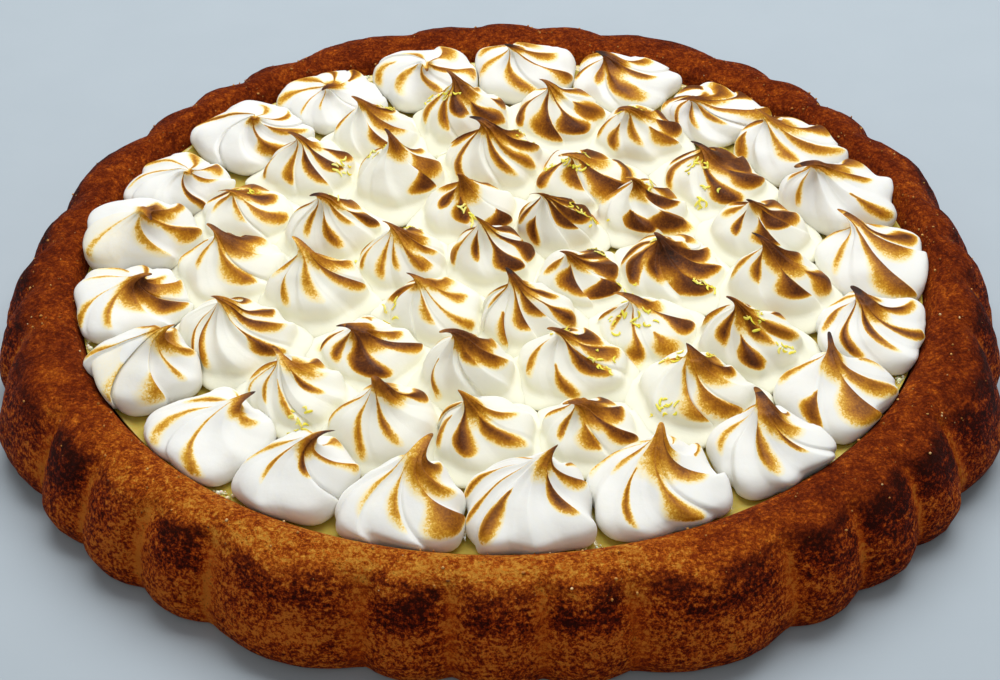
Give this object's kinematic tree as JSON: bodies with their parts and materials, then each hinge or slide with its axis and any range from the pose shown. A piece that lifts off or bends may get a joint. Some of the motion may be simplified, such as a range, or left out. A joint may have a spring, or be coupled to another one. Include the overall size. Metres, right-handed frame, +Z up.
{
  "type": "lemon meringue pie",
  "caption": "Round unmoulded lemon meringue pie: fluted golden-brown crust, pale lemon filling and a covering of toasted star-piped meringue kisses.",
  "frame": {"origin": "centre of the flat base, on the surface that the pie stands on", "axes": "+Z up; the crust's pattern of one wide and three narrow flutes repeats eight times round Z, with a wide flute centred 21.5 degrees from +X towards +Y"},
  "size_m": [0.3032, 0.3072, 0.0492],
  "materials": {
    "crust": "baked crumb: dry, finely pitted, mottled golden to dark brown",
    "lemon_filling": "set lemon curd: smooth, wet gloss, pale yellow, slightly translucent",
    "meringue": "whipped meringue: satin white, toasted brown along its ridges and tips",
    "lemon_zest": "grated lemon peel: matt bright yellow shreds"
  },
  "bodies": {
    "root": {"crust": "crust", "lemon_filling": "lemon_filling", "meringue_outer_01": "meringue", "meringue_outer_02": "meringue", "meringue_outer_03": "meringue", "meringue_outer_04": "meringue", "meringue_outer_05": "meringue", "meringue_outer_06": "meringue", "meringue_outer_07": "meringue", "meringue_outer_08": "meringue", "meringue_outer_09": "meringue", "meringue_outer_10": "meringue", "meringue_outer_11": "meringue", "meringue_outer_12": "meringue", "meringue_outer_13": "meringue", "meringue_outer_14": "meringue", "meringue_outer_15": "meringue", "meringue_outer_16": "meringue", "meringue_outer_17": "meringue", "meringue_outer_18": "meringue", "meringue_outer_19": "meringue", "meringue_outer_20": "meringue", "meringue_outer_21": "meringue", "meringue_second_01": "meringue", "meringue_second_02": "meringue", "meringue_second_03": "meringue", "meringue_second_04": "meringue", "meringue_second_05": "meringue", "meringue_second_06": "meringue", "meringue_second_07": "meringue", "meringue_second_08": "meringue", "meringue_second_09": "meringue", "meringue_second_10": "meringue", "meringue_second_11": "meringue", "meringue_second_12": "meringue", "meringue_second_13": "meringue", "meringue_second_14": "meringue", "meringue_second_15": "meringue", "meringue_second_16": "meringue", "meringue_second_17": "meringue", "meringue_third_01": "meringue", "meringue_third_02": "meringue", "meringue_third_03": "meringue", "meringue_third_04": "meringue", "meringue_third_05": "meringue", "meringue_third_06": "meringue", "meringue_third_07": "meringue", "meringue_third_08": "meringue", "meringue_third_09": "meringue", "meringue_third_10": "meringue", "meringue_third_11": "meringue", "meringue_inner_01": "meringue", "meringue_inner_02": "meringue", "meringue_inner_03": "meringue", "meringue_inner_04": "meringue", "meringue_inner_05": "meringue", "meringue_inner_06": "meringue", "meringue_centre": "meringue"}
  },
  "joints": []
}
